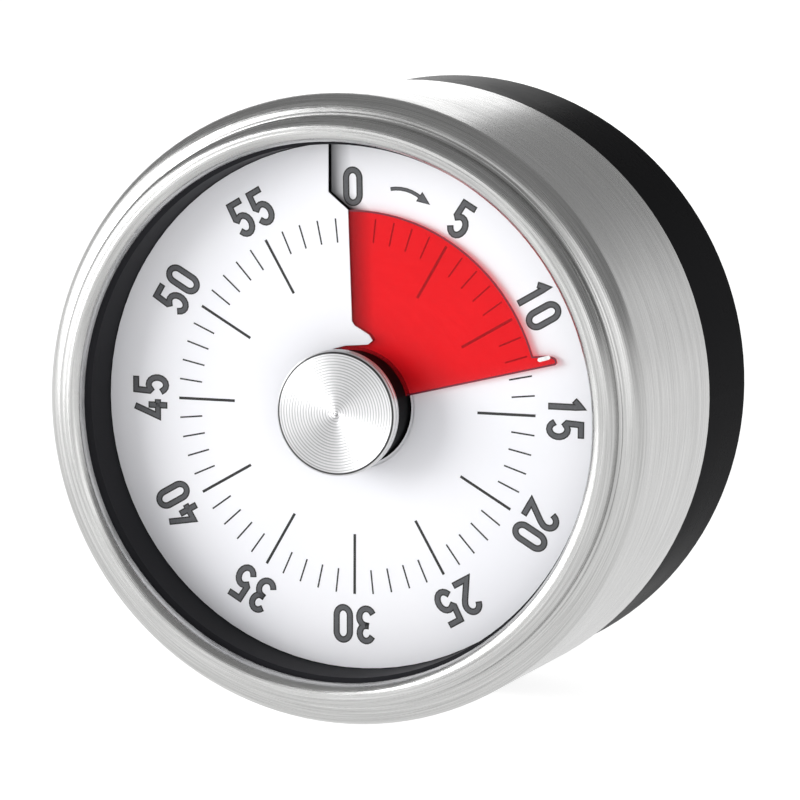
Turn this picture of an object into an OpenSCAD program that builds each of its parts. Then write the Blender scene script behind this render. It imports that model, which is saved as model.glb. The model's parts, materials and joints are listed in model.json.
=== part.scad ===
// Round mechanical kitchen timer, 60 minutes, with a red disc that shows the time left.
//
// Each piece is drawn lying on its back: z = 0 is the plane of the magnet face, z runs forward to
// the dial, x is to the right and y is towards the 0 mark. upright() then stands the piece on
// edge, so that the dial faces -Y with its 0 mark at +Z. The origin is the centre of the magnet.
// A dial angle is measured clockwise from the 0 mark, as it is read from the front.

/* [Case] */
// Outside diameter of the steel case
case_d = 78; // [78:0.5:84]
// Thickness of the steel sheet
sheet_t = 0.8; // [0.6:0.1:0.9]
// Depth from the magnet face to the front of the lip
case_depth = 49; // [45:0.5:50]
// Radius of the hole in the lip
lip_r = 33.3; // [33:0.1:33.6]
// How far the dial lies behind the front of the lip
dial_recess = 9; // [8.5:0.5:9.5]
// Height at which the steel ends and the black housing shows
housing_depth = 18; // [17:0.5:18]

/* [Dial and disc] */
// Outside radius of the white dial
dial_r = 32.7; // [32.5:0.1:32.7]
// Radius of the hole in the middle of the dial
dial_hole_r = 7.3; // [7.3:0.05:7.4]
// Thickness of the dial sheet
dial_t = 0.15; // [0.1:0.01:0.15]
// How far the dial rises in one turn, which is the step at its slit
ramp_rise = 1.1; // [1.1:0.1:1.5]
// Outside radius of the red disc
disc_r = 24.4; // [23:0.2:25]
// Thickness of the red film
disc_t = 0.12; // [0.1:0.02:0.14]
// Time that the timer is set to, in minutes
set_minutes = 12.7; // [12:0.1:20]

/* [Knob] */
// Radius of the aluminium cap
knob_r = 7.75; // [7.5:0.05:8]
// Radius of the black hub under the cap
hub_r = 7; // [6.8:0.05:7.2]
// Height of the cap's face above the middle of the dial
knob_height = 6.8; // [6.5:0.1:7.5]

/* [Movement] */
// Radius of the two movement plates
plate_r = 25.5; // [25.2:0.1:26]
// Thickness of each movement plate
plate_t = 1; // [1:0.1:1.2]
// Radius of the winding arbor
arbor_r = 1.5; // [1.4:0.05:1.6]
// Running clearance of every pivot, on the radius
pivot_gap = 0.05; // [0.03:0.01:0.08]

/* [Bell and magnet] */
// Radius of the bell's rim
bell_r = 14; // [13:0.5:14]
// Radius of the magnet
magnet_r = 14; // [12:0.5:15]

/* [Hidden] */

$fn = 96;
eps = 0.01;

// Case
case_r = case_d / 2;
shell_r = case_r - sheet_t;         // inside of the steel wall
fit_r = shell_r - 0.2;              // outside of whatever slides into the steel wall
front_z = case_depth;
dial_z = front_z - dial_recess;     // middle height of the dial's top side
surround_z = dial_z - 4.5;          // underside of the dial surround, top of the chassis
chassis_t = 2;
chassis_z = surround_z - chassis_t;
housing_r = case_r - 0.4;
floor_t = 2;
wall_t = 1.8;
back_step = 0.4;                    // the housing floor stands back from the magnet face
post_ring_r = 31;                   // circle of the three housing screws
post_angles = [30, 150, 270];
post_r = 3.2;
post_z = 15;                        // where the housing posts meet the chassis posts
surround_screw_r = 34.5;
surround_screw_angles = [90, 210, 330];

// Movement plates
front_plate_z = chassis_z - 1.5 - plate_t;
rear_plate_z = front_plate_z - 11 - plate_t;
rear_plate_top = rear_plate_z + plate_t;
pillar_ring_r = 23.2;
pillar_angles = [26, 142, 232, 300];
movement_screw_ring_r = 23;
movement_screw_angles = [10, 110, 265];

// Gear train: each wheel drives the next pinion
main_teeth = 60;
second_leaves = 10;
second_teeth = 60;
third_teeth = 56;
small_leaves = 8;                   // of the third pinion and of the escape pinion
escape_teeth = 15;
main_module = 0.4;
second_module = 0.35;
third_module = 0.3;
mesh_gap = 0.1;
second_dist = (main_teeth + second_leaves) * main_module / 2 + mesh_gap;
third_dist = (second_teeth + small_leaves) * second_module / 2 + mesh_gap;
escape_dist = (third_teeth + small_leaves) * third_module / 2 + mesh_gap;
third_orbit = 13.6;                 // distance of the third arbor from the winding arbor
escape_orbit = 14;                  // distance of the escape arbor from the winding arbor
second_at = 200;
third_at = second_at + corner(second_dist, third_orbit, third_dist);
escape_at = third_at + corner(third_orbit, escape_orbit, escape_dist);
second_xy = polar(second_dist, second_at);
third_xy = polar(third_orbit, third_at);
escape_xy = polar(escape_orbit, escape_at);
pallet_dist = 6.6;
pallet_at = 20;
pallet_xy = escape_xy + polar(pallet_dist, pallet_at);
main_phase = 0;
second_phase = mesh_phase(main_teeth, second_leaves, main_phase, second_at);
second_to_third = heading(second_xy, third_xy);
third_phase = mesh_phase(second_teeth, small_leaves, 0, second_to_third);
third_to_escape = heading(third_xy, escape_xy);
escape_phase = mesh_phase(third_teeth, small_leaves, 0, third_to_escape);

// Heights inside the movement, measured from the top of the rear plate
spring_z = rear_plate_top + 0.4;
spring_h = 2.4;
third_wheel_z = rear_plate_top + 3.2;
second_wheel_z = rear_plate_top + 5.8;
main_wheel_z = rear_plate_top + 8.3;
escape_wheel_z = rear_plate_top + 5.6;
balance_z = rear_plate_top + 1;
small_arbor_r = 0.7;
pivot_r = 0.5;
escape_r = 4.6;

// Dial and disc
ramp_base = dial_z - ramp_rise / 2; // lowest height of the dial's top side
set_angle = set_minutes * 6;
disc_drop = 0.03;                   // the disc's lowest edge lies this far under the dial's top
tab_r = 27.2;                       // tip of the disc's pointer tab
tab_end = 3.8;                      // dial angle from the disc's leading edge to the tab's far side

// Knob
face_z = dial_z + knob_height;
cap_h = 1.5;
hub_foot_z = dial_z - 3;
arbor_flat = arbor_r * 0.6;         // distance of the arbor's flat from its axis

// Bell, hammer and magnet
bell_xy = [0, 6];
bell_rim_z = rear_plate_z - 2;
bell_h = 5.5;
bell_t = 0.7;
bell_top_z = bell_rim_z - bell_h;
hammer_xy = [16.5, 16.5];
hammer_head_r = 1.4;
hammer_rest_gap = 1.3;
head_xy = bell_xy + polar(bell_r + hammer_rest_gap + hammer_head_r, 60);
magnet_h = 3.4;

// A point at radius r and angle a, counter-clockwise from +x
function polar(r, a) = [r * cos(a), r * sin(a)];
// A point at radius r and dial angle a, clockwise from the 0 mark
function on_dial(r, a) = [r * sin(a), r * cos(a)];
// Points of an arc around c
function arc(c, r, a0, a1, n) = [for (i = [0:n]) c + polar(r, a0 + (a1 - a0) * i / n)];
// Corner between sides a and b of a triangle whose third side is c
function corner(a, b, c) = acos((a * a + b * b - c * c) / (2 * a * b));
function heading(p, q) = atan2(q[1] - p[1], q[0] - p[0]);
// Angle to which a driven gear is turned so that its gap meets the driver's tooth
function mesh_phase(n1, n2, phase1, at) = at + 180 + 180 / n2 + (at - phase1) * n1 / n2;

module upright() {
    rotate([90, 0, 0]) children();
}

module tube(r_out, r_in, h) {
    difference() {
        cylinder(r = r_out, h = h);
        translate([0, 0, -eps]) cylinder(r = r_in, h = h + 2 * eps);
    }
}

// Copies its children around a circle, with their +x turned outwards
module around(r, angles) {
    for (a = angles) rotate(a) translate([r, 0, 0]) children();
}

// A screw along +z with a pan head below z = 0
module pan_screw(r, length, head_r, head_h) {
    difference() {
        union() {
            translate([0, 0, -head_h / 2]) cylinder(r = r, h = length + head_h / 2, $fn = 32);
            translate([0, 0, -head_h]) cylinder(r = head_r, h = head_h, $fn = 32);
        }
        for (a = [0, 90]) rotate(a) translate([-head_r * 0.6, -0.2, -head_h - eps])
            cube([head_r * 1.2, 0.4, head_h / 2]);
    }
}

// ---------- Case ----------

// Outside of the steel, from the rear edge over the shoulder, groove and lip
function case_outline() = concat(
    [[case_r - 0.25, housing_depth], [case_r, housing_depth + 0.25]],
    arc([case_r - 2.4, front_z - 5.2], 2.4, 0, 84, 14),
    arc([case_r - 2.4, front_z - 2.35], 0.4, -80, -170, 6),
    arc([lip_r + 1.6, front_z - 1.35], 1.35, 0, 80, 10),
    arc([lip_r + 1.3, front_z - 1.3], 1.3, 80, 180, 12),
    [[lip_r, front_z - 1.9]]
);

// Inside of the steel, back from the lip to the rear edge
function case_lining() = concat(
    [[lip_r + 0.7, front_z - 1.9]],
    arc([lip_r + 1.3, front_z - 1.7], 0.6, 180, 90, 5),
    [[lip_r + 1.8, front_z - 1.15], [lip_r + 2.15, front_z - 1.6]],
    [[lip_r + 2.15, front_z - 2.7], [lip_r + 2.7, front_z - 3.5]],
    arc([case_r - 2.4, front_z - 5.2], 1.6, 90, 0, 8),
    [[shell_r, housing_depth]]
);

module steel_case() {
    color("silver") upright()
        rotate_extrude($fn = 180) polygon(concat(case_outline(), case_lining()));
}

module dial_surround() {
    top_z = front_z - 2;
    step_z = dial_z + 6;
    color([0.06, 0.06, 0.065]) upright() difference() {
        rotate_extrude($fn = 180) polygon([
            [31.4, surround_z], [fit_r, surround_z], [fit_r, surround_z + 2],
            [lip_r + 2.2, surround_z + 2], [lip_r + 2.2, top_z - 1.6], [lip_r + 1.8, top_z],
            [lip_r + 0.1, top_z], [lip_r + 0.1, step_z + 0.4], [lip_r - 0.45, step_z],
            [lip_r - 0.5, dial_z - 1.3], [31.4, dial_z - 1.3]
        ]);
        around(surround_screw_r, surround_screw_angles) translate([0, 0, surround_z - eps])
            cylinder(r = 0.9, h = 1.6, $fn = 24);
    }
}

// Bends of the slit between the dial's two ends: [radius, dial angle]
slit_path = [[dial_hole_r, -36], [7.6, -28], [7.65, -18], [7.7, -7], [7.78, 4.5], [8.1, 13.5],
    [8.75, 16.5], [9.3, 12.4], [9.7, 6], [10.15, 0.4], [10.7, -1.4], [disc_r, -1.9],
    [disc_r + 2.3, -7.3], [dial_r, -6]];

// A thin sheet that rises as it turns. Its top side has steps slices around and rows strips
// outwards. spots lists its points slice by slice, each as [radius, dial angle, height].
module ramp_sheet(rows, steps, spots, t) {
    top = [for (s = spots) [s[0] * sin(s[1]), s[0] * cos(s[1]), s[2]]];
    under = [for (p = top) p - [0, 0, t]];
    n = len(top);
    w = rows + 1;
    skin = [for (i = [0:steps - 1]) for (j = [0:rows - 1])
        let (a = i * w + j) [a, a + 1, a + 1 + w, a + w]];
    ends = [for (j = [0:rows - 1]) each [
        [j + 1, j, n + j, n + j + 1],
        [steps * w + j, steps * w + j + 1, n + steps * w + j + 1, n + steps * w + j]]];
    rims = [for (i = [0:steps - 1]) each [
        [i * w, (i + 1) * w, n + (i + 1) * w, n + i * w],
        [(i + 1) * w + rows, i * w + rows, n + i * w + rows, n + (i + 1) * w + rows]]];
    flip = [for (f = skin) [f[3] + n, f[2] + n, f[1] + n, f[0] + n]];
    quads = concat(skin, flip, ends, rims);
    faces = [for (f = quads) each [[f[0], f[2], f[1]], [f[0], f[3], f[2]]]];
    polyhedron(concat(top, under), faces);
}

module dial_plate() {
    steps = 90;
    rows = len(slit_path) - 1;
    spots = [for (i = [0:steps]) for (p = slit_path)
        let (a = p[1] + 360 * i / steps) [p[0], a, ramp_base + ramp_rise * a / 360]];
    color("white") upright() ramp_sheet(rows, steps, spots, dial_t);
}

module chassis_plate() {
    boss_h = chassis_z - front_plate_z - plate_t;
    color([0.1, 0.1, 0.1]) upright() difference() {
        union() {
            translate([0, 0, chassis_z]) cylinder(r = fit_r, h = chassis_t, $fn = 180);
            around(post_ring_r, post_angles) translate([0, 0, post_z])
                cylinder(r = post_r, h = chassis_z - post_z + eps, $fn = 32);
            around(movement_screw_ring_r, movement_screw_angles)
                translate([0, 0, chassis_z - boss_h]) cylinder(r = 2.2, h = boss_h + eps, $fn = 32);
        }
        translate([0, 0, chassis_z - eps]) cylinder(r = 4.2, h = chassis_t + 2 * eps);
        around(post_ring_r, post_angles) translate([0, 0, post_z - eps])
            cylinder(r = 1.2, h = 9, $fn = 24);
        around(movement_screw_ring_r, movement_screw_angles)
            translate([0, 0, chassis_z - boss_h - eps]) cylinder(r = 0.8, h = 3.2, $fn = 24);
        around(surround_screw_r, surround_screw_angles) translate([0, 0, chassis_z - eps])
            cylinder(r = 1.1, h = chassis_t + 2 * eps, $fn = 24);
    }
}

module rear_housing() {
    edge = 1.2;
    inside_r = housing_r - wall_t;
    spigot_top = chassis_z - 0.1;
    pocket_r = magnet_r + 0.15;
    color([0.04, 0.04, 0.045]) upright() difference() {
        union() {
            rotate_extrude($fn = 180) polygon(concat(
                [[0, back_step]],
                arc([housing_r - edge, back_step + edge], edge, -90, 0, 10),
                [[housing_r, housing_depth - 1], [housing_r - 0.5, housing_depth - 0.7]],
                [[housing_r - 0.5, housing_depth - 0.25], [shell_r - 0.2, housing_depth - 0.25]],
                [[fit_r, spigot_top], [fit_r - 1.4, spigot_top], [fit_r - 1.4, housing_depth + 1]],
                [[inside_r, housing_depth - 1], [inside_r, back_step + floor_t]],
                [[0, back_step + floor_t]]
            ));
            around(post_ring_r, post_angles) translate([0, 0, back_step + floor_t - eps])
                cylinder(r = post_r, h = post_z - back_step - floor_t - 0.05, $fn = 32);
            translate([0, 0, back_step + 0.2]) cylinder(r = magnet_r + 2, h = magnet_h + 1.6);
        }
        translate([0, 0, -1]) cylinder(r = pocket_r, h = magnet_h + 2.02);
        around(post_ring_r, post_angles) {
            translate([0, 0, back_step - eps]) cylinder(r = 1.4, h = post_z + 1, $fn = 24);
            translate([0, 0, back_step - eps]) cylinder(r = 2.7, h = 2.6 + eps, $fn = 32);
        }
        difference() {
            translate([0, 0, back_step - eps]) cylinder(r = magnet_r + 5.1, h = 0.8);
            translate([0, 0, back_step - 1]) cylinder(r = magnet_r + 1.4, h = 3);
        }
    }
}

module magnet() {
    color([0.2, 0.2, 0.21]) upright() cylinder(r = magnet_r, h = magnet_h);
}

module magnet_yoke() {
    color("gray") upright() translate([0, 0, magnet_h]) cylinder(r = magnet_r, h = 1);
}

module rubber_ring() {
    color([0.15, 0.15, 0.15]) upright() tube(magnet_r + 5, magnet_r + 1.5, back_step + 0.75);
}

module rear_screws() {
    color("gray") upright() around(post_ring_r, post_angles) translate([0, 0, back_step + 2.6])
        pan_screw(1.1, 18, 2.4, 1.4);
}

module surround_screws() {
    color("gray") upright() around(surround_screw_r, surround_screw_angles)
        translate([0, 0, chassis_z]) pan_screw(0.8, 3.3, 1.5, 0.8);
}

// ---------- Movement frame ----------

module plate_holes(r_centre) {
    translate([0, 0, -eps]) cylinder(r = r_centre + pivot_gap, h = plate_t + 2 * eps);
    for (p = [second_xy, third_xy, escape_xy, pallet_xy]) translate([p[0], p[1], -eps])
        cylinder(r = pivot_r + pivot_gap, h = plate_t + 2 * eps, $fn = 32);
    translate([hammer_xy[0], hammer_xy[1], -eps])
        cylinder(r = 0.8 + pivot_gap, h = plate_t + 2 * eps, $fn = 32);
    around(pillar_ring_r, pillar_angles) translate([0, 0, -eps])
        cylinder(r = 0.85, h = plate_t + 2 * eps, $fn = 32);
}

module front_plate() {
    color("lightgray") upright() translate([0, 0, front_plate_z]) difference() {
        cylinder(r = plate_r, h = plate_t);
        plate_holes(arbor_r);
        around(movement_screw_ring_r, movement_screw_angles) translate([0, 0, -eps])
            cylinder(r = 0.9, h = plate_t + 2 * eps, $fn = 32);
    }
}

module rear_plate() {
    color("lightgray") upright() translate([0, 0, rear_plate_z]) difference() {
        cylinder(r = plate_r, h = plate_t);
        plate_holes(1);
        translate([bell_xy[0], bell_xy[1], -eps]) cylinder(r = 1.02, h = plate_t + 2 * eps);
        around(14.5, [45, 160]) translate([0, 0, -eps])
            cylinder(r = 4.5, h = plate_t + 2 * eps);
    }
}

module plate_pillars() {
    color("goldenrod") upright() around(pillar_ring_r, pillar_angles) {
        translate([0, 0, rear_plate_z - 0.6]) cylinder(r = 0.82, h = 1.6 + plate_t, $fn = 32);
        translate([0, 0, rear_plate_top])
            cylinder(r = 1.5, h = front_plate_z - rear_plate_top, $fn = 32);
        translate([0, 0, front_plate_z - 1]) cylinder(r = 0.82, h = 3.1, $fn = 32);
    }
}

module pillar_nuts() {
    color("gray") upright() around(pillar_ring_r, pillar_angles)
        translate([0, 0, front_plate_z + plate_t]) difference() {
            cylinder(r = 1.7, h = 1, $fn = 6);
            translate([0, 0, -eps]) cylinder(r = 0.84, h = 1 + 2 * eps, $fn = 32);
        }
}

module movement_screws() {
    color("gray") upright() around(movement_screw_ring_r, movement_screw_angles)
        translate([0, 0, front_plate_z]) pan_screw(0.75, 4, 1.4, 0.8);
}

// ---------- Gears ----------

// Outline of a gear: width is the tooth's share of the pitch at its root, waist and tip
module gear_outline(n, m, tip, root, width) {
    pitch_r = n * m / 2;
    radii = [pitch_r - root * m, pitch_r, pitch_r + tip * m];
    step = 360 / n;
    polygon([for (i = [0:n - 1]) each [
        for (k = [0:2]) polar(radii[k], (i - width[k] / 2) * step),
        for (k = [2:-1:0]) polar(radii[k], (i + width[k] / 2) * step)]]);
}

module wheel(n, m, t, hub, arms) {
    rim = n * m / 2 - 2.2 * m;
    mid = (rim + hub) / 2;
    linear_extrude(t) difference() {
        gear_outline(n, m, 0.8, 1.2, [0.52, 0.42, 0.2]);
        circle(r = hub * 0.5, $fn = 32);
        for (i = [0:arms - 1]) rotate(i * 360 / arms) translate([mid, 0])
            circle(r = min((rim - hub) / 2 - 0.5, mid * sin(180 / arms) - 0.6), $fn = 32);
    }
}

// A steel arbor whose two thin pivots run in the rear plate and the front plate
module plain_arbor() {
    translate([0, 0, rear_plate_top + 0.15])
        cylinder(r = small_arbor_r, h = front_plate_z - rear_plate_top - 0.3, $fn = 32);
    translate([0, 0, rear_plate_z]) cylinder(r = pivot_r, h = 1 + plate_t, $fn = 32);
    translate([0, 0, front_plate_z - 1]) cylinder(r = pivot_r, h = 1 + plate_t, $fn = 32);
}

// A pinion cut on its own arbor
module pinion_arbor(n, m, z, h) {
    translate([0, 0, z]) linear_extrude(h) gear_outline(n, m, 0.7, 1.2, [0.42, 0.4, 0.2]);
    plain_arbor();
}

// Collet that joins a wheel to its arbor
module collet(r, h) {
    tube(r, small_arbor_r, h);
}

module main_wheel() {
    color("goldenrod") upright() translate([0, 0, main_wheel_z]) rotate(main_phase)
        wheel(main_teeth, main_module, 1, 2 * arbor_r, 5);
}

module second_wheel() {
    color("goldenrod") upright() translate([second_xy[0], second_xy[1], second_wheel_z]) {
        wheel(second_teeth, second_module, 0.8, 2 * small_arbor_r, 5);
        translate([0, 0, 0.8 - eps]) collet(1.6, 0.9);
    }
}

module second_pinion() {
    color("gray") upright() translate([second_xy[0], second_xy[1], 0]) rotate(second_phase)
        pinion_arbor(second_leaves, main_module, main_wheel_z - 0.5, 2);
}

module third_wheel() {
    color("goldenrod") upright() translate([third_xy[0], third_xy[1], third_wheel_z]) {
        wheel(third_teeth, third_module, 0.8, 2 * small_arbor_r, 5);
        translate([0, 0, 0.8 - eps]) collet(1.5, 0.7);
    }
}

module third_pinion() {
    color("gray") upright() translate([third_xy[0], third_xy[1], 0]) rotate(third_phase)
        pinion_arbor(small_leaves, second_module, second_wheel_z - 0.6, 2);
}

module escape_wheel() {
    step = 360 / escape_teeth;
    color("goldenrod") upright() translate([escape_xy[0], escape_xy[1], escape_wheel_z]) {
        linear_extrude(0.7) difference() {
            polygon([for (i = [0:escape_teeth - 1]) each [
                polar(escape_r * 0.74, i * step), polar(escape_r, (i + 0.55) * step),
                polar(escape_r, (i + 0.65) * step), polar(escape_r * 0.74, (i + 0.75) * step)]]);
            circle(r = small_arbor_r, $fn = 32);
        }
        translate([0, 0, -0.7]) collet(1.3, 0.7 + eps);
    }
}

module escape_pinion() {
    color("gray") upright() translate([escape_xy[0], escape_xy[1], 0]) rotate(escape_phase)
        pinion_arbor(small_leaves, third_module, third_wheel_z - 0.4, 1.7);
}

// ---------- Pallet and balance ----------

// The lever spans the escape wheel and carries a pin beside it on each side
module pallet_lever() {
    pin_spread = 34;
    pin_reach = escape_r + 1.05;
    color("silver") upright() translate([0, 0, escape_wheel_z + 1.1]) difference() {
        for (side = [-1, 1]) {
            pin = escape_xy + polar(pin_reach, pallet_at + side * pin_spread);
            hull() {
                translate([pallet_xy[0], pallet_xy[1], 0]) cylinder(r = 1.4, h = 0.6, $fn = 32);
                translate([pin[0], pin[1], 0]) cylinder(r = 0.55, h = 0.6, $fn = 32);
            }
            translate([pin[0], pin[1], -1.2]) cylinder(r = 0.3, h = 1.2 + eps, $fn = 24);
        }
        translate([pallet_xy[0], pallet_xy[1], -eps]) cylinder(r = small_arbor_r, h = 1, $fn = 32);
    }
}

module pallet_arbor() {
    color("gray") upright() translate([pallet_xy[0], pallet_xy[1], 0]) {
        plain_arbor();
    }
}

module balance_bar() {
    half = 5;
    color("goldenrod") upright() translate([pallet_xy[0], pallet_xy[1], balance_z])
        rotate(pallet_at + 90) difference() {
            union() {
                translate([-half, -0.6, 0]) cube([2 * half, 1.2, 0.8]);
                cylinder(r = 1.6, h = 0.8);
                for (x = [-half, half]) translate([x, 0, 0]) cylinder(r = 1, h = 1.4, $fn = 32);
            }
            translate([0, 0, -eps]) cylinder(r = small_arbor_r, h = 2, $fn = 32);
        }
}

// ---------- Winding side ----------

module winding_arbor() {
    color("gray") upright() difference() {
        union() {
            translate([0, 0, rear_plate_z + 0.1]) cylinder(r = 1, h = 1.5);
            translate([0, 0, rear_plate_top + 0.2])
                cylinder(r = arbor_r, h = face_z - 3.5 - rear_plate_top);
        }
        translate([arbor_flat, -5, hub_foot_z]) cube([5, 10, 20]);
    }
}

module mainspring() {
    turns = 6;
    per_turn = 20;
    strip_t = 0.25;
    start_r = arbor_r + 0.5;
    growth = (8.6 - start_r) / (turns * 360);
    steps = turns * per_turn;
    line = [for (i = [0:steps]) let (a = i * 360 / per_turn) [start_r + growth * a, a]];
    color("slategray") upright() translate([0, 0, spring_z]) linear_extrude(spring_h)
        polygon(concat(
            [for (p = line) polar(p[0], p[1])],
            [for (i = [steps:-1:0]) polar(line[i][0] - strip_t, line[i][1])]));
}

// Bowed washer that lets the knob be turned back against the train
module clutch_spring() {
    low = main_wheel_z - 1.2;
    color("silver") upright() rotate_extrude() polygon([
        [arbor_r, low + 0.3], [arbor_r, low], [arbor_r + 0.9, low],
        [4.2, low + 0.85], [4.2, low + 1.15], [arbor_r + 0.9, low + 0.3]]);
}

module alarm_cam() {
    color("silver") upright() translate([0, 0, main_wheel_z + 1.25]) difference() {
        cylinder(r = 4, h = 0.8);
        translate([0, 0, -eps]) cylinder(r = arbor_r, h = 1);
        rotate(-set_angle + 90) translate([3.1, -0.9, -eps]) cube([2, 1.8, 1]);
    }
}

module knob_hub() {
    shoulder_z = face_z - cap_h - 0.05;
    color([0.05, 0.05, 0.05]) upright() difference() {
        union() {
            translate([0, 0, hub_foot_z]) cylinder(r = hub_r, h = shoulder_z - hub_foot_z);
            translate([0, 0, shoulder_z - eps]) cylinder(r = hub_r - 0.6, h = cap_h - 0.7);
            translate([0, 0, hub_foot_z - 0.9]) cylinder(r = 3.6, h = 1);
        }
        translate([0, 0, hub_foot_z - 1]) cylinder(r = arbor_r + 0.02, h = 1);
        intersection() {
            translate([0, 0, hub_foot_z - 1])
                cylinder(r = arbor_r + 0.02, h = face_z - 2.2 - hub_foot_z);
            translate([-5, -5, hub_foot_z - 1]) cube([5 + arbor_flat + 0.02, 10, 20]);
        }
    }
}

module knob_cap() {
    low = face_z - cap_h;
    color("gainsboro") upright() rotate_extrude($fn = 120) polygon([
        [hub_r - 0.55, low], [knob_r - 0.1, low], [knob_r, low + 0.1], [knob_r, low + 0.5],
        [knob_r - 0.35, low + 0.6], [knob_r - 0.35, low + 0.8], [knob_r, low + 0.9],
        [knob_r, face_z - 0.28], [knob_r - 0.3, face_z], [knob_r - 0.6, face_z],
        [0, face_z - 0.15], [0, face_z - 0.7], [hub_r - 0.55, face_z - 0.7]
    ]);
}

// Outside radius of the disc at angle a behind its leading edge: first a pointer tab with a round
// shoulder, then the plain rim
function disc_edge(a) =
    a < 0.4 ? tab_r - 0.75 * (0.4 - a) :
    a < 1.2 ? tab_r :
    a < 3 ? tab_r - pow((a - 1.2) / 1.8, 2) :
    a < tab_end ? disc_r + (tab_r - 1 - disc_r) * (tab_end - a) / (tab_end - 3) : disc_r;

module red_disc() {
    lead = [0, 0.2, 0.4, 1.2, 1.6, 2, 2.4, 2.7, 3, tab_end, 5, 7, 9];
    turn = [for (a = [12:3:354]) a];
    angles = concat(lead, turn);
    steps = len(angles) - 1;
    spots = [for (i = [0:steps]) for (j = [0:1])
        let (a = angles[steps - i])
        let (inner = a < 90 ? hub_r + 0.06 : dial_hole_r + 0.15)
        [j == 0 ? inner : disc_edge(a), set_angle - a,
            ramp_base - disc_drop + ramp_rise * (1 - a / 360)]];
    color("red") upright() ramp_sheet(1, steps, spots, disc_t);
}

// Ring that grips the disc's inner edge against the hub, behind the dial
module disc_clamp() {
    color([0.1, 0.1, 0.1]) upright() translate([0, 0, hub_foot_z + 0.2])
        tube(hub_r + 0.9, hub_r + 0.03, ramp_base - hub_foot_z - 0.7);
}

// ---------- Bell and hammer ----------

module bell() {
    color("gainsboro") upright() translate([bell_xy[0], bell_xy[1], bell_top_z])
        rotate_extrude($fn = 120) polygon(concat(
            [[1.3, 0]], arc([bell_r - bell_h, bell_h], bell_h, -90, 0, 12),
            [[bell_r - bell_t, bell_h]],
            arc([bell_r - bell_h, bell_h], bell_h - bell_t, 0, -90, 12), [[1.3, bell_t]]));
}

module bell_post() {
    color("gray") upright() translate([bell_xy[0], bell_xy[1], 0]) {
        translate([0, 0, bell_top_z + bell_t])
            cylinder(r = 2, h = rear_plate_z - bell_top_z - bell_t, $fn = 32);
        translate([0, 0, rear_plate_z - 1]) cylinder(r = 1, h = 1 + plate_t + 0.3, $fn = 32);
        translate([0, 0, bell_top_z]) cylinder(r = 1.25, h = bell_t + eps, $fn = 32);
    }
}

module bell_screw() {
    color("gray") upright() translate([bell_xy[0], bell_xy[1], bell_top_z - 0.9])
        cylinder(r = 2.4, h = 0.9, $fn = 6);
}

module hammer_arm() {
    arm_z = rear_plate_z - 1.4;
    color("silver") upright() hull() {
        translate([hammer_xy[0], hammer_xy[1], arm_z]) cylinder(r = 1.8, h = 1, $fn = 32);
        translate([head_xy[0], head_xy[1], arm_z]) cylinder(r = 1, h = 1, $fn = 32);
    }
}

module hammer_head() {
    color("gray") upright() translate([head_xy[0], head_xy[1], bell_rim_z - 2.6])
        cylinder(r = hammer_head_r, h = rear_plate_z - 1.4 - bell_rim_z + 2.6, $fn = 32);
}

module hammer_arbor() {
    color("gray") upright() translate([hammer_xy[0], hammer_xy[1], 0]) {
        translate([0, 0, rear_plate_z - 0.4])
            cylinder(r = 0.8, h = front_plate_z + plate_t - rear_plate_z + 0.4, $fn = 32);
        translate([0, 0, rear_plate_top + 0.2]) cylinder(r = 1.4, h = 3, $fn = 32);
    }
}

// Round wire along a list of points, as a tube with six sides
module wire(path, r) {
    sides = 6;
    n = len(path);
    steps = [for (i = [0:n - 1]) path[min(i + 1, n - 1)] - path[max(i - 1, 0)]];
    pts = [for (i = [0:n - 1])
        let (d = steps[i] / norm(steps[i]), u = cross([0, 0, 1], d), v = u / norm(u), w = cross(d, v))
        for (k = [0:sides - 1]) path[i] + r * (cos(k * 60) * v + sin(k * 60) * w)];
    walls = [for (i = [0:n - 2]) for (k = [0:sides - 1])
        let (a = i * sides + k, b = i * sides + (k + 1) % sides)
        each [[a, b + sides, b], [a, a + sides, b + sides]]];
    faces = concat([[for (k = [0:sides - 1]) k]], walls,
        [[for (k = [sides - 1:-1:0]) (n - 1) * sides + k]]);
    polyhedron(pts, faces);
}

// Torsion spring around the hammer arbor
module hammer_spring() {
    coil_r = 2;
    turns = 4;
    step = 24;
    low = rear_plate_top + 0.9;
    rise = 0.55 / 360;
    coil = [for (a = [0:step:turns * 360]) concat(polar(coil_r, a), [low + rise * a])];
    path = concat([[coil_r, -5, low]], coil, [[coil_r, 5, low + rise * turns * 360]]);
    color("silver") upright() translate([hammer_xy[0], hammer_xy[1], 0]) wire(path, 0.2);
}

// Pin on the rear plate that the hammer rests on
module hammer_stop() {
    side = heading(hammer_xy, head_xy) - 90;
    spot = (hammer_xy + head_xy) / 2 + polar(2.4, side);
    color("gray") upright() translate([spot[0], spot[1], rear_plate_z - 1.8])
        cylinder(r = 0.8, h = 1.8, $fn = 24);
}

steel_case();
dial_surround();
dial_plate();
chassis_plate();
rear_housing();
magnet();
magnet_yoke();
rubber_ring();
rear_screws();
surround_screws();
front_plate();
rear_plate();
plate_pillars();
pillar_nuts();
movement_screws();
mainspring();
bell();
bell_post();
bell_screw();
hammer_stop();
knob_cap();
knob_hub();
winding_arbor();
red_disc();
disc_clamp();
main_wheel();
clutch_spring();
alarm_cam();
second_wheel();
second_pinion();
third_wheel();
third_pinion();
escape_wheel();
escape_pinion();
pallet_lever();
pallet_arbor();
balance_bar();
hammer_arm();
hammer_arbor();
hammer_head();
hammer_spring();
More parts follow.
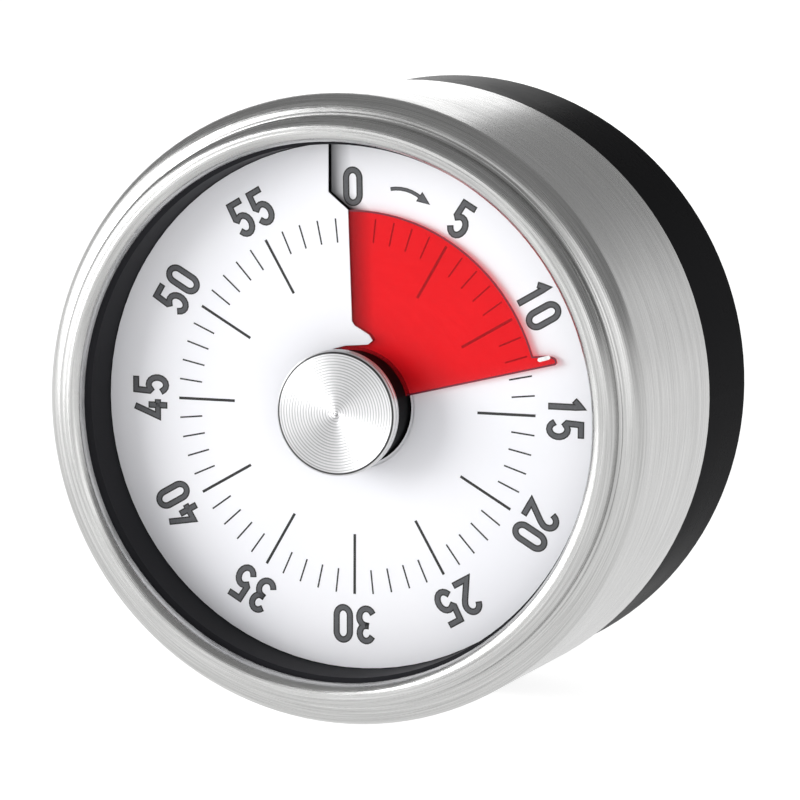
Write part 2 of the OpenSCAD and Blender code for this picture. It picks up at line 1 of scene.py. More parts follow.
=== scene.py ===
"""Looks for a round mechanical kitchen timer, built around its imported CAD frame.

The timer stands on its edge with its dial facing -Y and its 0 mark at +Z. Lengths are in metres,
or in millimetres where the comment says so. A dial angle is measured in degrees clockwise from the
0 mark, as it is read from the front.
"""
import json
import math

import bmesh
import bpy
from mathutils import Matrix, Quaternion, Vector
from mathutils.bvhtree import BVHTree


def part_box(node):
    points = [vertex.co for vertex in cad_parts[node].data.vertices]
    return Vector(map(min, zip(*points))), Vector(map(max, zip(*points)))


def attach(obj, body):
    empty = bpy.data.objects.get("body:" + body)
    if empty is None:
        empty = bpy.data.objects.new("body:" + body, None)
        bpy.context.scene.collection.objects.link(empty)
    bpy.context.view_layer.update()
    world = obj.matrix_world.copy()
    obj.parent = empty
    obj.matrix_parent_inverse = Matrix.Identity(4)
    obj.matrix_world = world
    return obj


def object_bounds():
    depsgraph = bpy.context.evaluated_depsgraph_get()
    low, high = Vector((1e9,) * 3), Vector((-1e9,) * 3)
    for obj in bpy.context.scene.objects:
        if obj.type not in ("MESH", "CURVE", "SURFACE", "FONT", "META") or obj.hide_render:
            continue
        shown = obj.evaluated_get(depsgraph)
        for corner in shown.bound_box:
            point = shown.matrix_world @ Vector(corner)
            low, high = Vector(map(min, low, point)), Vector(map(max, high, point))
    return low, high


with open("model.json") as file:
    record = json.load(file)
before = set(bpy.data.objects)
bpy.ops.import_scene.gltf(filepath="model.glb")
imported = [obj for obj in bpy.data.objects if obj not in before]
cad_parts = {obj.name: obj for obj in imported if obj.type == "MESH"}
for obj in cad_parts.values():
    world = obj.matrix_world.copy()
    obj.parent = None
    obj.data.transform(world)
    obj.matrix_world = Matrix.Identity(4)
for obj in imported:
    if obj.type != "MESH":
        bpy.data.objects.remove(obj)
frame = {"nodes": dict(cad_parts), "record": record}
cad_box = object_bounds()
NODES = frame["nodes"]
MM = 0.001

# Camera: direction from the object and roll in degrees, distance, lens in millimetres, and its shift
CAMERA_AZIMUTH = 20.3
CAMERA_ELEVATION = 7.5
CAMERA_ROLL = 0.2
CAMERA_DISTANCE = 0.62
CAMERA_LENS = 221.0
CAMERA_NEAR = 0.01
CAMERA_RIGHT = 0.15 * MM
CAMERA_DOWN = 1.05 * MM

# Soft square lights: name, place, side and power
LIGHTS = (
    ("key", (-0.88, -0.9, 0.2), 0.75, 10.6),
    ("left", (-1.1, -0.35, 0.3), 0.6, 2.3),
    ("back", (-0.45, 1.1, 0.3), 0.5, 1.2),
    ("fill", (0.5, -1.1, 0.1), 0.7, 1.5),
)

# Room around the timer: its brightness up to one height in the sky and from the other upwards, where
# 0 is the horizon and 1 is overhead, and the brightness that the camera sees
HORIZON_LIGHT = 0.95
HORIZON_TOP = 0.14
ROOM_LIGHT = 0.3
ROOM_FROM = 0.3
BACKGROUND = 1.05

# Floor under the timer, which glows a little so that it stays white
FLOOR_RADIUS = 30.0
FLOOR_GLOW = 0.9

# Dark line painted around the knob's face in place of the dark room reflected in its chamfer:
# radius, half width of its dark part and of the whole, and darkness
KNOB_REFLECTION_LINE = 7.45 * MM
EDGE_CORE = 0.08 * MM
EDGE_WIDTH = 0.16 * MM
EDGE_TONE = 0.12

# Pitch of the rings turned in the knob's face
KNOB_RING = 0.36 * MM

# A quarter turn, which puts the long highlights of brushed metal across the brushing
BRUSH_TURN = 0.25

# Share of the red film's own colour over what is seen through it
FILM_COVER = 0.22

# Print on the dial, in millimetres
TICK_OUTER = 23.4
TICK_MINOR = 20.4
TICK_MAJOR = 15.9
TICK_MINOR_W = 0.2
TICK_MAJOR_W = 0.34
NUMERAL_RADIUS = 27.2
NUMERAL_HEIGHT = 4.9
NUMERAL_WIDTH = 0.36 * NUMERAL_HEIGHT
NUMERAL_STROKE = 0.84
NUMERAL_EDGE = 0.17
NUMERAL_PITCH = 3.0
INK_LIFT = 0.02

# Longest steps of a numeral's strokes and of a tick, in millimetres, so that they follow the dial
STROKE_STEP = 0.8
TICK_STEP = 1.0

# Path ends closer than this meet, and a sharp corner of a ribbon is cut off beyond this mitre
SAME_PLACE = 1e-6
MITRE_LIMIT = 0.5

# How far in front of the case the search for the printed face starts
PROBE_GAP = 5 * MM

# Dial angle of the numeral 0, which stands a little to the left of its tick's place
ZERO_ANGLE = -1.2

# Arrow after the 0: radius and dial angle of the top of its bend, how fast the bend falls away, and
# the dial angles of its points; then in millimetres its line, its edge and its head
ARROW_RADIUS = 27.75
ARROW_TOP = 13.5
ARROW_FALL = 0.02
ARROW_ANGLES = (9.2, 10.5, 12, 13.5, 15, 16.5, 17.8)
ARROW_LINE = 0.48
ARROW_EDGE = 0.12
ARROW_HALF = 0.72
ARROW_BACK = 0.3
ARROW_REACH = 1.45

# Painted shadow beside the dial's slit, in place of the shadow that the slit's raised edge casts,
# in millimetres: its width, the step at the slit, the radius of the slit's bend, and how far out the
# bend and the change of shade there reach
SHADE_WIDTH = 2.6
SLIT_STEP = 1.1
SLIT_BEND = 24.4
BEND_REACH = 2.0
SHADE_CHANGE = 0.6

# Darkest value of that shade, and the slit's dial angle in radians, inside and outside the bend
SHADE_DARKEST = (0.06, 0.3)
SLIT_ANGLE = (math.radians(-1.7), math.radians(-6.4))

# Line and mark on the red disc, in millimetres. MARK_BACK is in degrees behind the leading edge, and
# a point further out than DISC_RIM_FROM is on the disc's outer rim
DISC_INNER = 7.2
DISC_RIM_FROM = 12
DISC_LINE = 0.2
DISC_LINE_INSET = 0.02
MARK_RADIUS = 25.7
MARK_BACK = 2.35
MARK_OFFSET = 0.55
MARK_END = (0.26, 0.3)


# ---------- Node helpers ----------

class Shader:
    """A material under construction: makes nodes and links them in one call."""

    def __init__(self, name):
        self.material = bpy.data.materials.new(name)
        self.material.use_nodes = True
        self.tree = self.material.node_tree
        self.tree.nodes.clear()
        self.output = self.tree.nodes.new("ShaderNodeOutputMaterial")
        self.position = None

    def node(self, kind, settings=None, **inputs):
        made = self.tree.nodes.new("ShaderNode" + kind)
        for key, value in (settings or {}).items():
            setattr(made, key, value)
        for key, value in inputs.items():
            self.feed(made, key.replace("_", " "), value)
        return made

    def feed(self, node, key, value):
        socket = node.inputs[int(key)] if key.isdigit() else node.inputs[key]
        if isinstance(value, bpy.types.NodeSocket):
            self.tree.links.new(value, socket)
        else:
            socket.default_value = value

    def math(self, operation, a, b=0.0):
        made = self.node("Math", {"operation": operation})
        self.feed(made, "0", a)
        self.feed(made, "1", b)
        return made.outputs[0]

    def xyz(self):
        if self.position is None:
            self.position = self.node("SeparateXYZ", Vector=self.point()).outputs
        return self.position

    def point(self):
        return self.node("TexCoord").outputs["Object"]

    def polar(self):
        """Distance from the knob's axis, and the unit direction from it as x and z."""
        x, _, z = self.xyz()
        squares = self.math("ADD", self.math("MULTIPLY", x, x), self.math("MULTIPLY", z, z))
        radius = self.math("SQRT", self.math("MAXIMUM", squares, 1e-12))
        return radius, self.math("DIVIDE", x, radius), self.math("DIVIDE", z, radius)

    def noise(self, vector, scale, detail=3.0, roughness=0.5):
        made = self.node("TexNoise", Vector=vector, Scale=scale, Detail=detail, Roughness=roughness)
        return made.outputs["Fac"]

    def turned(self, around, across, scale=1.0, detail=3.0):
        """Noise drawn out in circles about the knob's axis: around is low and across is high."""
        radius, cx, cz = self.polar()
        depth = self.math("ADD", self.xyz()[1], radius)
        vector = self.node("CombineXYZ", X=self.math("MULTIPLY", cx, around),
                           Y=self.math("MULTIPLY", depth, across),
                           Z=self.math("MULTIPLY", cz, around)).outputs[0]
        return self.noise(vector, scale, detail)

    def ramp(self, value, *stops):
        made = self.node("ValToRGB", Fac=value)
        points = made.color_ramp.elements
        while len(points) < len(stops):
            points.new(0.5)
        for point, (place, colour) in zip(points, stops):
            point.position = place
            point.color = (*colour, 1.0)
        return made.outputs["Color"]

    def remap(self, value, low, high, to_low, to_high):
        made = self.node("MapRange")
        for key, number in (("0", value), ("1", low), ("2", high), ("3", to_low), ("4", to_high)):
            self.feed(made, key, number)
        return made.outputs[0]

    def bump(self, height, strength, distance, normal=None):
        made = self.node("Bump", Height=height, Strength=strength, Distance=distance)
        if normal is not None:
            self.feed(made, "Normal", normal)
        return made.outputs["Normal"]

    def scaled(self, colour, factor):
        made = self.node("VectorMath", {"operation": "SCALE"}, **{"0": colour, "Scale": factor})
        return made.outputs[0]

    def principled(self, **inputs):
        made = self.node("BsdfPrincipled")
        for key, value in inputs.items():
            self.feed(made, key.replace("_", " "), value)
        return made

    def done(self, shader):
        self.tree.links.new(shader.outputs[0], self.output.inputs["Surface"])
        return self.material


def grey(value):
    """A neutral colour."""
    return (value, value, value)


def tone(colour, factor):
    """The colour made lighter or darker by a factor."""
    return tuple(min(1.0, c * factor) for c in colour)


# ---------- Materials ----------

def turned_metal(name, colour, rough, around, across, anisotropy, groove, contrast,
                 ring=None, edge=None):
    """Metal brushed or turned in circles about the knob's axis.

    ring is the pitch of its turned grooves, and edge the radius of a darker line painted at its rim
    in place of the dark room reflected in the chamfer there.
    """
    s = Shader(name)
    streaks = s.turned(around, across, detail=4.0)
    fine = s.turned(around * 2.5, across * 3.1, detail=2.0)
    smudge = s.noise(s.point(), 70.0, 4.0, 0.6)
    height = streaks
    depth = 0.02 * MM
    if ring:
        turns = s.math("MULTIPLY", s.polar()[0], 2 * math.pi / ring)
        wave = s.remap(s.math("SINE", turns), -1.0, 1.0, 0.0, 1.0)
        height = s.math("ADD", s.math("MULTIPLY", streaks, 0.35), wave)
        depth = 0.03 * MM
    # The colour follows the height: darker along the low brushed streaks as the metal's grain, and
    # where ring is given, painted shade in the low part of each turned groove
    base = s.ramp(height, (0.3, tone(colour, 1 - contrast)),
                  (0.7, tone(colour, 1 + 0.6 * contrast)))
    # Painted reflection: a dark line at the rim in place of the dark room reflected in the chamfer
    if edge:
        away = s.math("ABSOLUTE", s.math("SUBTRACT", s.polar()[0], edge))
        base = s.scaled(base, s.remap(away, EDGE_CORE, EDGE_WIDTH, EDGE_TONE, 1.0))
    rough_streak = s.remap(fine, 0.3, 0.7, rough * 0.8, rough * 1.2)
    rough_all = s.math("ADD", rough_streak, s.remap(smudge, 0.45, 0.75, 0.0, 0.06))
    tangent = s.node("Tangent", {"direction_type": "RADIAL", "axis": "Y"}).outputs[0]
    normal = s.bump(height, groove, depth, s.bump(fine, 0.2, 0.01 * MM))
    return s.done(s.principled(Base_Color=base, Metallic=1.0, Roughness=rough_all,
                               Anisotropic=anisotropy, Anisotropic_Rotation=BRUSH_TURN,
                               Tangent=tangent, Normal=normal))


def plain_metal(name, colour, rough, grain_scale=900.0):
    """Rolled or machined metal, as of the screws and the movement."""
    s = Shader(name)
    grain = s.noise(s.point(), grain_scale, 4.0, 0.6)
    stain = s.noise(s.point(), 160.0, 3.0, 0.5)
    base = s.ramp(stain, (0.35, tone(colour, 0.85)), (0.7, tone(colour, 1.06)))
    rough_all = s.remap(grain, 0.3, 0.7, rough * 0.75, rough * 1.3)
    return s.done(s.principled(Base_Color=base, Metallic=1.0, Roughness=rough_all,
                               Normal=s.bump(grain, 0.12, 0.01 * MM)))


def moulded(name, colour, rough, grain_scale, grain_strength, ior=1.45):
    """Moulded plastic or rubber with a fine surface grain, slight clouding and faint scuffs."""
    s = Shader(name)
    grain = s.noise(s.point(), grain_scale, 3.0, 0.55)
    cloud = s.noise(s.point(), 55.0, 4.0, 0.6)
    scuff = s.turned(5.0, 900.0, detail=5.0)
    base = s.ramp(cloud, (0.35, tone(colour, 0.85)), (0.75, tone(colour, 1.2)))
    marks = s.remap(scuff, 0.62, 0.8, 0.0, 0.12)
    rough_all = s.math("ADD", s.remap(cloud, 0.3, 0.8, rough * 0.85, rough * 1.25), marks)
    return s.done(s.principled(Base_Color=base, Roughness=rough_all, IOR=ior,
                               Normal=s.bump(grain, grain_strength, 0.02 * MM)))


def slit_shade(s):
    """Painted shadow of the raised edge across the slit: darkens the low side of the dial beside the
    slit, and is 1 everywhere else.
    """
    x, y, z = s.xyz()
    radius = s.polar()[0]
    bend = SLIT_BEND * MM
    slit = s.remap(radius, bend, bend + BEND_REACH * MM, *SLIT_ANGLE)
    away = s.math("MULTIPLY", s.math("SUBTRACT", s.math("ARCTAN2", x, z), slit), radius)
    darkest = s.remap(radius, bend, bend + SHADE_CHANGE * MM, *SHADE_DARKEST)
    shade = s.remap(away, 0.0, SHADE_WIDTH * MM, darkest, 1.0)
    high = s.math("LESS_THAN", y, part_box("dial_plate")[1].y - SLIT_STEP * MM / 2)
    return s.math("MAXIMUM", shade, high)


def dial_white():
    """White card with a fine fibre, and a painted shadow beside its slit."""
    s = Shader("dial_white")
    fibre = s.noise(s.point(), 2600.0, 3.0, 0.6)
    cloud = s.noise(s.point(), 40.0, 3.0, 0.5)
    base = s.ramp(cloud, (0.3, (0.85, 0.855, 0.895)), (0.7, (0.885, 0.885, 0.915)))
    rough = s.remap(fibre, 0.3, 0.7, 0.42, 0.55)
    # The painted shadow beside the slit darkens the card's colour
    return s.done(s.principled(Base_Color=s.scaled(base, slit_shade(s)), Roughness=rough,
                               Normal=s.bump(fibre, 0.06, 0.01 * MM)))


def ink(name, colour):
    """Printing ink, slightly uneven."""
    s = Shader(name)
    wear = s.noise(s.point(), 3200.0, 3.0, 0.6)
    base = s.ramp(wear, (0.35, tone(colour, 0.85)), (0.75, tone(colour, 1.2)))
    return s.done(s.principled(Base_Color=base, Roughness=s.remap(wear, 0.3, 0.7, 0.45, 0.6)))


def red_film():
    """Clear red film: its own colour mixed with the white dial seen through it."""
    s = Shader("red_film")
    ripple = s.noise(s.point(), 90.0, 2.0, 0.4)
    fine = s.turned(6.0, 1400.0, detail=3.0)
    base = s.ramp(ripple, (0.3, (0.8, 0.016, 0.03)), (0.7, (0.88, 0.022, 0.038)))
    rough = s.remap(fine, 0.3, 0.7, 0.22, 0.34)
    body = s.principled(Base_Color=base, Roughness=rough,
                        Normal=s.bump(ripple, 0.15, 0.1 * MM))
    clear = s.node("BsdfTransparent", Color=(1.0, 0.3, 0.33, 1.0))
    mixed = s.node("MixShader", Fac=FILM_COVER)
    s.tree.links.new(clear.outputs[0], mixed.inputs[1])
    s.tree.links.new(body.outputs[0], mixed.inputs[2])
    return s.done(mixed)


def ferrite():
    """Sintered magnet, dark grey and slightly grainy."""
    s = Shader("ferrite")
    grain = s.node("TexVoronoi", Vector=s.point(), Scale=2200.0).outputs["Distance"]
    cloud = s.noise(s.point(), 120.0, 4.0, 0.6)
    base = s.ramp(cloud, (0.3, (0.045, 0.046, 0.05)), (0.75, (0.085, 0.086, 0.09)))
    rough = s.remap(grain, 0.0, 0.7, 0.38, 0.6)
    return s.done(s.principled(Base_Color=base, Metallic=0.35, Roughness=rough,
                               Normal=s.bump(grain, 0.15, 0.02 * MM)))


# What turned_metal, plain_metal and moulded are told for the slots that they make
TURNED = {
    "brushed_stainless": dict(colour=(0.52, 0.52, 0.515), rough=0.25, around=2.6, across=4200.0,
                              anisotropy=0.3, groove=0.3, contrast=0.22),
    "spun_aluminium": dict(colour=(0.66, 0.66, 0.67), rough=0.36, around=0.6, across=7000.0,
                           anisotropy=0.9, groove=0.5, contrast=0.3, ring=KNOB_RING, edge=KNOB_REFLECTION_LINE),
}
PLAIN = {
    "plated_steel": dict(colour=(0.62, 0.62, 0.6), rough=0.3),
    "spring_steel": dict(colour=(0.26, 0.29, 0.34), rough=0.28),
    "bell_nickel": dict(colour=(0.72, 0.69, 0.63), rough=0.12, grain_scale=300.0),
    "brass": dict(colour=(0.78, 0.58, 0.26), rough=0.26),
}
MOULDED = {
    "black_abs": dict(colour=(0.022, 0.022, 0.025), rough=0.42, grain_scale=1500.0,
                      grain_strength=0.2, ior=1.09),
    "black_abs_matt": dict(colour=(0.03, 0.03, 0.032), rough=0.5, grain_scale=1100.0,
                           grain_strength=0.4, ior=1.3),
    "black_gloss": dict(colour=(0.006, 0.006, 0.007), rough=0.28, grain_scale=700.0,
                        grain_strength=0.15, ior=1.025),
    "hub_black": dict(colour=(0.006, 0.006, 0.007), rough=0.35, grain_scale=600.0,
                      grain_strength=0.1, ior=1.08),
    "black_rubber": dict(colour=(0.02, 0.02, 0.02), rough=0.75, grain_scale=1800.0,
                         grain_strength=0.5),
}


def make_materials():
    """The material of every slot in the record, by the slot's name."""
    made = {"white_dial": dial_white(), "red_film": red_film(), "ferrite": ferrite()}
    for maker, table in ((turned_metal, TURNED), (plain_metal, PLAIN), (moulded, MOULDED)):
        for name, values in table.items():
            made[name] = maker(name, **values)
    return made


def dress(materials):
    """Gives every CAD node the finish of its slot in the record."""
    for row in frame["record"]["subparts"]:
        mesh = NODES[row["node"]].data
        mesh.materials.clear()
        mesh.materials.append(materials[row["material_slot"]])


# ---------- Print on the dial ----------

class RisingFace:
    """The rising front side of the dial or of the disc, to lay print on."""

    def __init__(self, node):
        self.mesh = NODES[node].data
        self.tree = BVHTree.FromPolygons([v.co.copy() for v in self.mesh.vertices],
                                         [list(p.vertices) for p in self.mesh.polygons])
        self.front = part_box("steel_case")[0].y - PROBE_GAP

    def lay(self, x, z, lift):
        """The point of the face behind (x, z) in millimetres, lifted towards the reader.

        Past the face's border it has the height of the nearest point of the face.
        """
        start = Vector((x * MM, self.front, z * MM))
        hit = self.tree.ray_cast(start, Vector((0, 1, 0)))[0] or self.tree.find_nearest(start)[0]
        return Vector((start.x, hit.y - lift * MM, start.z))

    def rim(self, inner):
        """The outer rim as x and z in millimetres, from the leading edge round to the tail."""
        front = {i for p in self.mesh.polygons if p.normal.y < -0.5 for i in p.vertices}
        spots = set()
        for i in front:
            x, _, z = self.mesh.vertices[i].co / MM
            if math.hypot(x, z) > inner:
                angle = math.degrees(math.atan2(x, z)) % 360
                spots.add((round(angle, 3), round(x, 4), round(z, 4)))
        spots = sorted(spots, reverse=True)
        gaps = [(spots[i - 1][0] - spots[i][0]) % 360 for i in range(len(spots))]
        lead = gaps.index(max(gaps))
        return [(x, z) for _, x, z in spots[lead:] + spots[:lead]]


def arc(cx, cy, rx, ry, start, end, steps=14):
    """Points of an elliptical arc; angles are counter-clockwise from +x."""
    turns = [math.radians(start + (end - start) * i / steps) for i in range(steps + 1)]
    return [(cx + rx * math.cos(t), cy + ry * math.sin(t)) for t in turns]


# Strokes of each digit's centre line in a box 1 wide and 2 high, with its middle at (0, 0)
DIGITS = {
    "0": [arc(0, 0.5, 0.5, 0.5, 0, 180) + arc(0, -0.5, 0.5, 0.5, 180, 360) + [(0.5, 0.5)]],
    "1": [[(-0.3, 0.62), (0.12, 1.0), (0.12, -1.0)]],
    "2": [arc(0, 0.5, 0.5, 0.5, 165, -20) + [(0.34, 0.1), (-0.5, -1.0), (0.55, -1.0)]],
    "3": [arc(-0.02, 0.52, 0.48, 0.48, 150, -75) + [(-0.12, 0.06)],
          [(-0.12, 0.06)] + arc(-0.02, -0.48, 0.52, 0.52, 75, -150)],
    "4": [[(0.12, 1.0), (-0.52, -0.45), (0.58, -0.45)], [(0.26, 0.1), (0.26, -1.0)]],
    "5": [[(0.48, 1.0), (-0.38, 1.0), (-0.44, 0.12)]
          + arc(0.0, -0.42, 0.52, 0.58, 130, -150)],
}


def mitred(path, width):
    """Left and right edges of a ribbon along a path, with its corners mitred."""
    left, right = [], []
    last = len(path) - 1
    closed = math.dist(path[0], path[-1]) < SAME_PLACE
    for i, (x, y) in enumerate(path):
        before = path[i - 1] if i else (path[last - 1] if closed else None)
        after = path[i + 1] if i < last else (path[1] if closed else None)
        normals = []
        for p, q in ((before, (x, y)), ((x, y), after)):
            if p is not None and q is not None:
                dx, dy = q[0] - p[0], q[1] - p[1]
                size = math.hypot(dx, dy)
                normals.append((-dy / size, dx / size))
        nx = sum(n[0] for n in normals)
        ny = sum(n[1] for n in normals)
        size = math.hypot(nx, ny)
        nx, ny = nx / size, ny / size
        spread = width / 2 / max(MITRE_LIMIT, nx * normals[0][0] + ny * normals[0][1])
        left.append((x + nx * spread, y + ny * spread))
        right.append((x - nx * spread, y - ny * spread))
    return left, right


def lengthen(path, extra):
    """The path with both ends drawn out by a little."""
    if math.dist(path[0], path[-1]) < SAME_PLACE:
        return path
    ends = []
    for end, inner in ((path[0], path[1]), (path[-1], path[-2])):
        dx, dy = end[0] - inner[0], end[1] - inner[1]
        size = math.hypot(dx, dy)
        ends.append((end[0] + dx / size * extra, end[1] + dy / size * extra))
    return [ends[0], *path[1:-1], ends[1]]


class PrintLayer:
    """One piece of print: thin ribbons and shapes laid on the dial or the disc."""

    def __init__(self, face, lift):
        self.face = face
        self.lift = lift
        self.bm = bmesh.new()

    def polygon(self, points):
        verts = [self.bm.verts.new(self.face.lay(x, z, self.lift)) for x, z in points]
        return self.bm.faces.new(verts)

    def ribbon(self, path, width, place):
        left, right = mitred(path, width)
        pairs = [(place(*a), place(*b)) for a, b in zip(left, right)]
        rows = [[self.bm.verts.new(self.face.lay(x, z, self.lift)) for x, z in pair]
                for pair in pairs]
        for a, b in zip(rows, rows[1:]):
            self.bm.faces.new((a[0], a[1], b[1], b[0]))

    def finish(self, name, material, body="case"):
        """Makes the layer an object that faces the reader and rides on a body."""
        mesh = bpy.data.meshes.new(name)
        bmesh.ops.recalc_face_normals(self.bm, faces=self.bm.faces)
        if self.bm.faces and sum(f.normal.y * f.calc_area() for f in self.bm.faces) > 0:
            bmesh.ops.reverse_faces(self.bm, faces=self.bm.faces)
        self.bm.to_mesh(mesh)
        self.bm.free()
        piece = bpy.data.objects.new(name, mesh)
        bpy.context.scene.collection.objects.link(piece)
        mesh.materials.append(material)
        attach(piece, body)


def on_dial(radius, angle):
    """Maps a glyph's own x and y to the dial, its top outwards, at a radius and dial angle."""
    turn = math.radians(angle)

    def place(x, y):
        out = radius + y
        return (x * math.cos(turn) + out * math.sin(turn),
                -x * math.sin(turn) + out * math.cos(turn))
    return place


def straight(x, z):
    """Leaves a point that is already on the dial as it is."""
    return x, z


def split(path, longest):
    """The path with extra points, so that no step is longer than longest."""
    points = [path[0]]
    for p, q in zip(path, path[1:]):
        count = max(1, math.ceil(math.dist(p, q) / longest))
        points += [(p[0] + (q[0] - p[0]) * i / count, p[1] + (q[1] - p[1]) * i / count)
                   for i in range(1, count + 1)]
    return points


def numeral_strokes(text):
    """Centre lines of a numeral in millimetres, with its middle at (0, 0)."""
    half_h = (NUMERAL_HEIGHT - NUMERAL_STROKE) / 2
    strokes = []
    for i, digit in enumerate(text):
        shift = (i - (len(text) - 1) / 2) * NUMERAL_PITCH
        for path in DIGITS[digit]:
            strokes.append([(x * NUMERAL_WIDTH + shift, y * half_h) for x, y in path])
    return strokes


def print_numerals(face, edge_ink, fill_ink):
    """The numerals 0 to 55, each a grey fill on a dark ribbon that shows as its edge."""
    edge = PrintLayer(face, INK_LIFT)
    fill = PrintLayer(face, INK_LIFT * 2)
    for number in range(0, 60, 5):
        place = on_dial(NUMERAL_RADIUS, number * 6 if number else ZERO_ANGLE)
        for stroke in numeral_strokes(str(number)):
            path = split(stroke, STROKE_STEP)
            edge.ribbon(lengthen(path, NUMERAL_EDGE), NUMERAL_STROKE, place)
            fill.ribbon(path, NUMERAL_STROKE - 2 * NUMERAL_EDGE, place)
    edge.finish("numeral_edges", edge_ink)
    fill.finish("numeral_fills", fill_ink)


def print_ticks(face, black):
    """A tick for every minute but 0, with a longer one at every fifth."""
    layer = PrintLayer(face, INK_LIFT)
    for minute in range(1, 60):
        long = minute % 5 == 0
        inner = TICK_MAJOR if long else TICK_MINOR
        width = TICK_MAJOR_W if long else TICK_MINOR_W
        path = split([(0, inner - TICK_OUTER), (0, 0)], TICK_STEP)
        layer.ribbon(path, width, on_dial(TICK_OUTER, minute * 6))
    layer.finish("minute_ticks", black)


def print_arrow(face, edge_ink, fill_ink):
    """The small bent arrow that points clockwise between 0 and 5."""
    bend = [on_dial(ARROW_RADIUS - ARROW_FALL * (angle - ARROW_TOP) ** 2, angle)(0, 0)
            for angle in ARROW_ANGLES]
    tip_x, tip_y = bend[-1]
    dx, dy = tip_x - bend[-2][0], tip_y - bend[-2][1]
    size = math.hypot(dx, dy)
    dx, dy = dx / size, dy / size
    shapes = ((INK_LIFT, 0.0, edge_ink, "arrow_edge"),
              (INK_LIFT * 2, ARROW_EDGE, fill_ink, "arrow_fill"))
    for lift, inset, colour, name in shapes:
        layer = PrintLayer(face, lift)
        layer.ribbon(bend, ARROW_LINE - 2 * inset, straight)
        half, back, reach = ARROW_HALF - 1.6 * inset, ARROW_BACK - inset, ARROW_REACH - 2 * inset
        layer.polygon([(tip_x - dx * back - dy * half, tip_y - dy * back + dx * half),
                       (tip_x + dx * reach, tip_y + dy * reach),
                       (tip_x - dx * back + dy * half, tip_y - dy * back - dx * half)])
        layer.finish(name, colour)


def print_disc(disc, edge_line_colour, tab_patch_colour):
    """The dark line along the disc's cut edge, and the light mark on its pointer tab."""
    rim = disc.rim(DISC_RIM_FROM)
    lead_x, lead_z = rim[0]
    reach = math.hypot(lead_x, lead_z)
    start = (lead_x / reach * DISC_INNER, lead_z / reach * DISC_INNER)
    centre, _ = mitred([start, *rim], DISC_LINE + 2 * DISC_LINE_INSET)
    # Dark line laid flat along the disc's cut edge
    layer = PrintLayer(disc, INK_LIFT)
    layer.ribbon(centre[:-1], DISC_LINE, straight)
    layer.finish("disc_edge_line", edge_line_colour, body="knob")
    place = on_dial(MARK_RADIUS, math.degrees(math.atan2(lead_x, lead_z)) - MARK_BACK)
    # White patch laid flat on the pointer tab
    mark = PrintLayer(disc, INK_LIFT)
    mark.polygon([place(x, y) for x, y in arc(0, MARK_OFFSET, *MARK_END, 0, 180, 8)
                  + arc(0, -MARK_OFFSET, *MARK_END, 180, 360, 8)])
    mark.finish("disc_tab_mark", tab_patch_colour, body="knob")


# ---------- Stage ----------

def view_direction():
    """The unit direction from the timer to the camera."""
    azimuth = math.radians(CAMERA_AZIMUTH)
    elevation = math.radians(CAMERA_ELEVATION)
    return Vector((math.sin(azimuth) * math.cos(elevation),
                   -math.cos(azimuth) * math.cos(elevation), math.sin(elevation)))


def object_centre():
    """The middle of the CAD box."""
    low, high = (Vector(corner) for corner in cad_box)
    return (low + high) / 2


def add_camera():
    """The camera, aimed at the middle and then shifted across its view."""
    data = bpy.data.cameras.new("camera")
    data.lens = CAMERA_LENS
    data.clip_start = CAMERA_NEAR
    camera = bpy.data.objects.new("camera", data)
    turn = (-view_direction()).to_track_quat("-Z", "Y")
    turn = turn @ Quaternion((0, 0, 1), math.radians(CAMERA_ROLL))
    offset = turn @ Vector((CAMERA_RIGHT, -CAMERA_DOWN, 0))
    camera.location = object_centre() + view_direction() * CAMERA_DISTANCE + offset
    camera.rotation_euler = turn.to_euler()
    bpy.context.scene.collection.objects.link(camera)
    bpy.context.scene.camera = camera


def add_light(name, place, side, power):
    """A square soft light that faces the timer."""
    data = bpy.data.lights.new(name, "AREA")
    data.shape = "SQUARE"
    data.size = side
    data.energy = power
    light = bpy.data.objects.new(name, data)
    light.location = place
    aim = object_centre() - Vector(place)
    light.rotation_euler = aim.to_track_quat("-Z", "Y").to_euler()
    light.visible_camera = False
    bpy.context.scene.collection.objects.link(light)


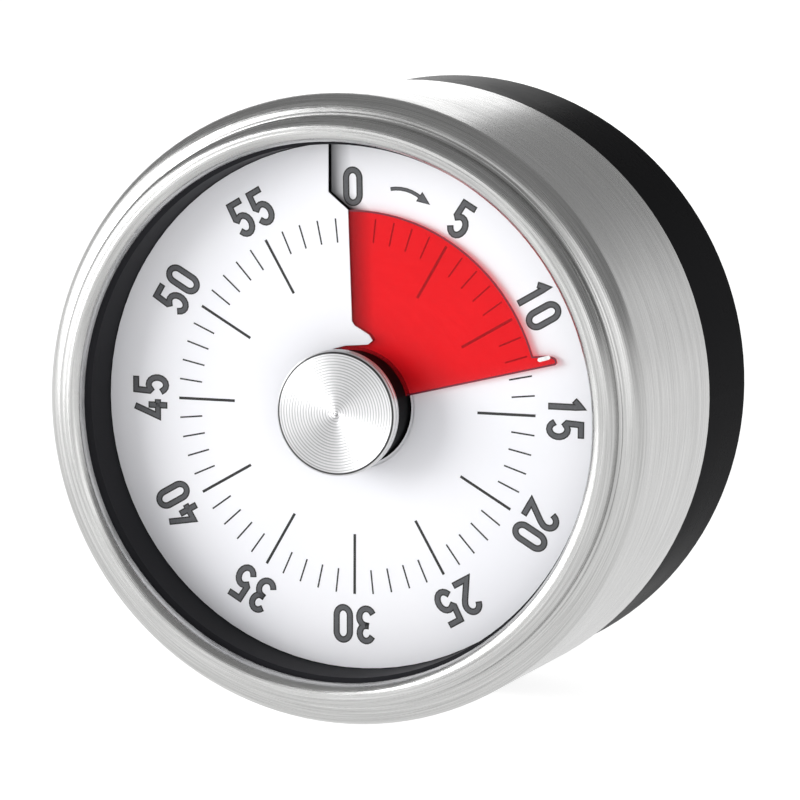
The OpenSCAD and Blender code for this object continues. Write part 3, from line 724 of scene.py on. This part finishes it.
def add_floor():
    """A wide pale floor under the timer."""
    mesh = bpy.data.meshes.new("floor")
    bm = bmesh.new()
    bmesh.ops.create_circle(bm, cap_ends=True, radius=FLOOR_RADIUS, segments=96)
    bm.to_mesh(mesh)
    bm.free()
    floor = bpy.data.objects.new("floor", mesh)
    floor.location.z = cad_box[0][2]
    bpy.context.scene.collection.objects.link(floor)
    s = Shader("floor")
    speckle = s.noise(s.point(), 30.0, 2.0)
    base = s.ramp(speckle, (0.3, grey(0.34)), (0.7, grey(0.36)))
    mesh.materials.append(s.done(s.principled(Base_Color=base, Roughness=0.7,
                                              Emission_Color=(1.0, 1.0, 1.0, 1.0),
                                              Emission_Strength=FLOOR_GLOW)))


def add_world():
    """White to the camera; to everything else, bright near the horizon and a dimmer room above."""
    world = bpy.data.worlds.new("studio")
    world.use_nodes = True
    tree = world.node_tree
    back = tree.nodes["Background"]
    back.inputs["Color"].default_value = (1.0, 1.0, 1.0, 1.0)
    direction = tree.nodes.new("ShaderNodeTexCoord").outputs["Generated"]
    axes = tree.nodes.new("ShaderNodeSeparateXYZ")
    tree.links.new(direction, axes.inputs[0])
    room = tree.nodes.new("ShaderNodeMapRange")
    for name, value in (("From Min", HORIZON_TOP), ("From Max", ROOM_FROM),
                        ("To Min", HORIZON_LIGHT), ("To Max", ROOM_LIGHT)):
        room.inputs[name].default_value = value
    tree.links.new(axes.outputs["Z"], room.inputs["Value"])
    strength = tree.nodes.new("ShaderNodeMapRange")
    strength.inputs["To Max"].default_value = BACKGROUND
    tree.links.new(room.outputs[0], strength.inputs["To Min"])
    seen = tree.nodes.new("ShaderNodeLightPath").outputs["Is Camera Ray"]
    tree.links.new(seen, strength.inputs["Value"])
    tree.links.new(strength.outputs[0], back.inputs["Strength"])
    bpy.context.scene.world = world
    bpy.context.scene.view_settings.view_transform = "Standard"


def build():
    dress(make_materials())
    dial = RisingFace("dial_plate")
    edge_ink = ink("ink_edge", grey(0.012))
    fill_ink = ink("ink_fill", (0.082, 0.084, 0.092))
    print_ticks(dial, ink("ink_ticks", grey(0.012)))
    print_numerals(dial, edge_ink, fill_ink)
    print_arrow(dial, edge_ink, fill_ink)
    print_disc(RisingFace("red_disc"), ink("disc_edge_dark", (0.12, 0.003, 0.02)),
               ink("tab_white_patch", grey(0.8)))
    add_floor()
    add_world()
    for light in LIGHTS:
        add_light(*light)
    add_camera()


build()
